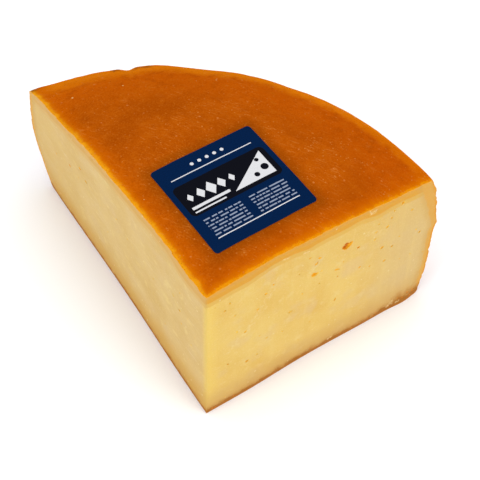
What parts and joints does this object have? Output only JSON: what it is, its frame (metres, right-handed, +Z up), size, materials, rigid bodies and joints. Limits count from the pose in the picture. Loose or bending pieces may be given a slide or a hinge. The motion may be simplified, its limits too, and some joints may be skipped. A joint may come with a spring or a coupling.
{
  "type": "parmesan cheese",
  "caption": "Hand-cut quarter of a hard cheese wheel: waxy orange rind on a domed top and round side, two pale cut faces with small eyes, and a square sticker on top.",
  "frame": {"origin": "middle of the base of the part's box, on the surface that the cheese stands on", "axes": "+Z up; +X along the shorter cut face and +Y along the longer one, both away from the upright edge where the cuts meet"},
  "size_m": [0.1526, 0.198, 0.1072],
  "materials": {
    "cheese": "firm pale yellow paste on the cut faces, with a satin burnt-orange rind on the top and the round side",
    "label": "coated paper sticker, navy and near-black fields with plain off-white shapes, low sheen"
  },
  "bodies": {
    "root": {"cheese": "cheese", "label": "label"}
  },
  "joints": []
}
